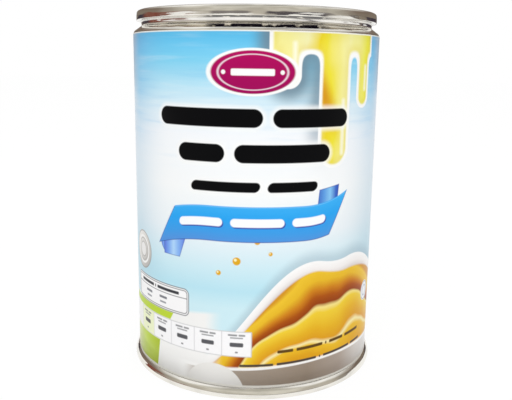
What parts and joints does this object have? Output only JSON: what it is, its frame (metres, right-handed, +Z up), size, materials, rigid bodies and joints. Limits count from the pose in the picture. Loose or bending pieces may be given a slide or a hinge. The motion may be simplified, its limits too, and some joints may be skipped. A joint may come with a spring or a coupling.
{
  "type": "sweetened creamer can",
  "caption": "Round necked tin can of sweetened creamer, shut at both ends by double-seamed beaded ends, with a glossy printed paper label wrapped round its wall.",
  "frame": {"origin": "centre of the circle that the can stands on", "axes": "+Z up along the can's axis; the front of the label faces -Y"},
  "size_m": [0.0759, 0.0758, 0.106],
  "materials": {
    "tin_wall": "bright rolled tinplate",
    "tin_end": "bright pressed tinplate",
    "label_paper": "gloss-coated printed paper"
  },
  "bodies": {
    "root": {"can_body": "tin_wall", "top_end": "tin_end", "bottom_end": "tin_end", "paper_label": "label_paper"}
  },
  "joints": []
}
